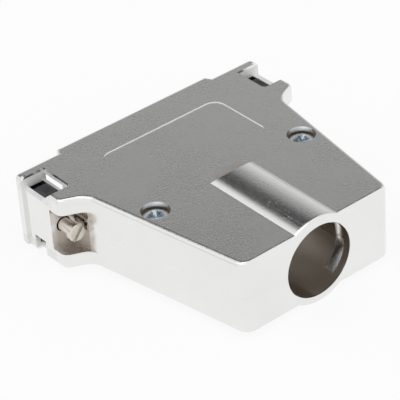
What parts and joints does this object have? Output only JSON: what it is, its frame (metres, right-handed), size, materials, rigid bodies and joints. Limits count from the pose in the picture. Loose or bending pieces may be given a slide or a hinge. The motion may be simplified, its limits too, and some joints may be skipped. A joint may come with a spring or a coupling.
{
  "type": "d-sub connector hood",
  "caption": "Die-cast hood for a D-shaped connector, with a screwed-on top shell, captive slotted jackscrews, a round cable entry and an inner cable clamp.",
  "frame": {"origin": "centre of the jackscrew pattern, on the face that the connector's flange seats on, at the height of the seam between the shells", "axes": "+Y towards the mating side, +Z to the top with the screw heads, +X to the right seen from the cable side"},
  "size_m": [0.0688, 0.0639, 0.0218],
  "materials": {
    "nickel_casting": "satin nickel plate on a zinc casting",
    "zinc_screw": "blue-white zinc plate",
    "nickel_screw": "bright nickel plate",
    "black_plastic": "moulded, half gloss",
    "strap_steel": "zinc-plated strip"
  },
  "bodies": {
    "hood": {"upper_shell": "nickel_casting", "lower_shell": "nickel_casting", "shell_screw_left": "zinc_screw", "shell_screw_right": "zinc_screw", "cable_clamp_upper": "strap_steel", "cable_clamp_lower": "strap_steel", "clamp_screw_left": "zinc_screw", "clamp_screw_right": "zinc_screw"},
    "left_float": {"jackscrew_retainer_left": "black_plastic"},
    "left_screw": {"jackscrew_left": "nickel_screw"},
    "right_float": {"jackscrew_retainer_right": "black_plastic"},
    "right_screw": {"jackscrew_right": "nickel_screw"}
  },
  "joints": [
    {"name": "left_jackscrew_float", "type": "slide", "parent": "hood", "child": "left_float", "axis": [0, 1, 0], "range_m": [-0.0005, 0.001]},
    {"name": "left_jackscrew_turn", "type": "hinge", "parent": "left_float", "child": "left_screw", "pos_m": [-0.03055, 0, 0], "axis": [0, 1, 0], "continuous": true},
    {"name": "right_jackscrew_float", "type": "slide", "parent": "hood", "child": "right_float", "axis": [0, 1, 0], "range_m": [-0.0005, 0.001]},
    {"name": "right_jackscrew_turn", "type": "hinge", "parent": "right_float", "child": "right_screw", "pos_m": [0.03055, 0, 0], "axis": [0, 1, 0], "continuous": true}
  ]
}
